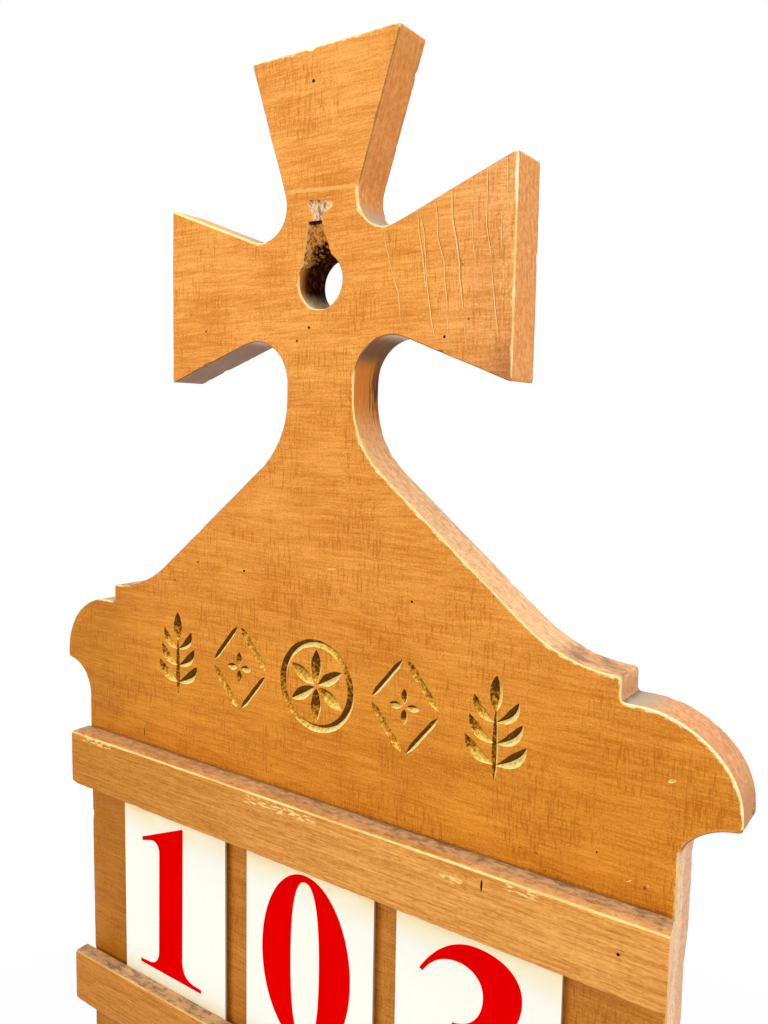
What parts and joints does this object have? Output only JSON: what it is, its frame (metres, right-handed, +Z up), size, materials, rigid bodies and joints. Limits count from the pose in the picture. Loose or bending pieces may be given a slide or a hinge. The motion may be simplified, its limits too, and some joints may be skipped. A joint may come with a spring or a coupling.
{
  "type": "hymn board",
  "caption": "Wall-hung wooden board with a sawn cross crest and rebated rails that hold rows of loose number cards, which slide out sideways.",
  "frame": {"origin": "on the axis of the keyhole, at the back face of the board, where it meets the wall", "axes": "+X to the right seen from the front, +Y into the wall, so the front faces -Y, +Z up"},
  "size_m": [0.304, 0.0255, 0.7371],
  "materials": {
    "board_wood": "aged honey oak under thin worn varnish, pale rubbed arrises",
    "rail_wood": "aged honey oak under thin worn varnish, dust on level tops",
    "number_card": "cream-white printed card, satin",
    "numeral_ink": "bright red printing ink, satin",
    "gilding": "worn gold paint in carved grooves",
    "pin_steel": "darkened steel panel pin"
  },
  "bodies": {
    "board": {"back_board": "board_wood", "top_rail": "rail_wood", "top_rail_pins": "pin_steel", "second_rail": "rail_wood", "second_rail_pins": "pin_steel", "third_rail": "rail_wood", "third_rail_pins": "pin_steel", "fourth_rail": "rail_wood", "fourth_rail_pins": "pin_steel", "bottom_rail": "rail_wood", "bottom_rail_pins": "pin_steel"},
    "card_row1_left": {"card_row1_left": "number_card"},
    "card_row1_middle": {"card_row1_middle": "number_card"},
    "card_row1_right": {"card_row1_right": "number_card"},
    "card_row2_left": {"card_row2_left": "number_card"},
    "card_row2_middle": {"card_row2_middle": "number_card"},
    "card_row2_right": {"card_row2_right": "number_card"},
    "card_row3_left": {"card_row3_left": "number_card"},
    "card_row3_middle": {"card_row3_middle": "number_card"},
    "card_row3_right": {"card_row3_right": "number_card"},
    "card_row4_left": {"card_row4_left": "number_card"},
    "card_row4_middle": {"card_row4_middle": "number_card"},
    "card_row4_right": {"card_row4_right": "number_card"}
  },
  "joints": [
    {"name": "row1_left_slide", "type": "slide", "parent": "board", "child": "card_row1_left", "axis": [-1, 0, 0], "range_m": [-0.0056, 0.09325]},
    {"name": "row1_middle_slide", "type": "slide", "parent": "board", "child": "card_row1_middle", "axis": [1, 0, 0], "range_m": [-0.0056, 0.00445]},
    {"name": "row1_right_slide", "type": "slide", "parent": "board", "child": "card_row1_right", "axis": [1, 0, 0], "range_m": [-0.00445, 0.09835]},
    {"name": "row2_left_slide", "type": "slide", "parent": "board", "child": "card_row2_left", "axis": [-1, 0, 0], "range_m": [-0.00425, 0.09895]},
    {"name": "row2_middle_slide", "type": "slide", "parent": "board", "child": "card_row2_middle", "axis": [1, 0, 0], "range_m": [-0.00425, 0.005]},
    {"name": "row2_right_slide", "type": "slide", "parent": "board", "child": "card_row2_right", "axis": [1, 0, 0], "range_m": [-0.005, 0.09425]},
    {"name": "row3_left_slide", "type": "slide", "parent": "board", "child": "card_row3_left", "axis": [-1, 0, 0], "range_m": [-0.00525, 0.09475]},
    {"name": "row3_middle_slide", "type": "slide", "parent": "board", "child": "card_row3_middle", "axis": [1, 0, 0], "range_m": [-0.00525, 0.004]},
    {"name": "row3_right_slide", "type": "slide", "parent": "board", "child": "card_row3_right", "axis": [1, 0, 0], "range_m": [-0.004, 0.09845]},
    {"name": "row4_left_slide", "type": "slide", "parent": "board", "child": "card_row4_left", "axis": [-1, 0, 0], "range_m": [-0.00375, 0.10065]},
    {"name": "row4_middle_slide", "type": "slide", "parent": "board", "child": "card_row4_middle", "axis": [1, 0, 0], "range_m": [-0.00375, 0.00575]},
    {"name": "row4_right_slide", "type": "slide", "parent": "board", "child": "card_row4_right", "axis": [1, 0, 0], "range_m": [-0.00575, 0.09205]}
  ]
}
